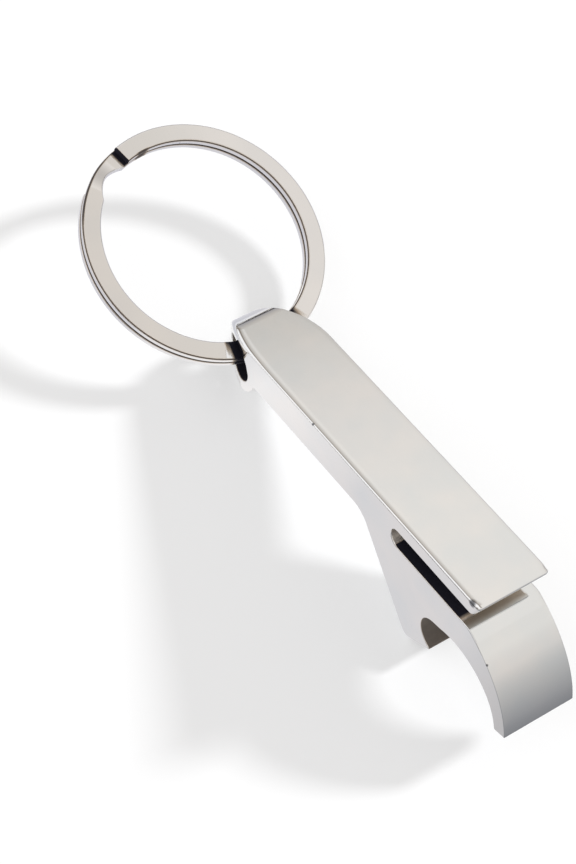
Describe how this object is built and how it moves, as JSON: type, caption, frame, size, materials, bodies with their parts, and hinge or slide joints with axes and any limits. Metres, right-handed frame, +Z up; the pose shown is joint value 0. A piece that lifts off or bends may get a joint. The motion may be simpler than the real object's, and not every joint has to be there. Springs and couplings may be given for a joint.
{
  "type": "keychain bottle opener",
  "caption": "Pocket bottle opener: a bar with a barrel, a can tab slot, a cap hook and a curved tail, on a free-swinging split ring.",
  "frame": {"origin": "middle of the part's footprint, on the surface it rests on; the part rests on its barrel and on the heel of its hook, with the ring held in the air by the bore", "axes": "+X from the split ring towards the tail, +Y towards the bar's left side when looking from the ring to the tail, +Z up"},
  "size_m": [0.09, 0.0326, 0.0227],
  "materials": {
    "body": "polished",
    "ring": "polished"
  },
  "bodies": {
    "opener": {"opener_body": "body"},
    "ring": {"split_ring": "ring"}
  },
  "joints": [
    {"name": "ring_swing", "type": "hinge", "parent": "opener", "child": "ring", "pos_m": [-0.01409, 0.00079, 0.0045], "axis": [0, 1, 0], "range_deg": [-186, 132]}
  ]
}
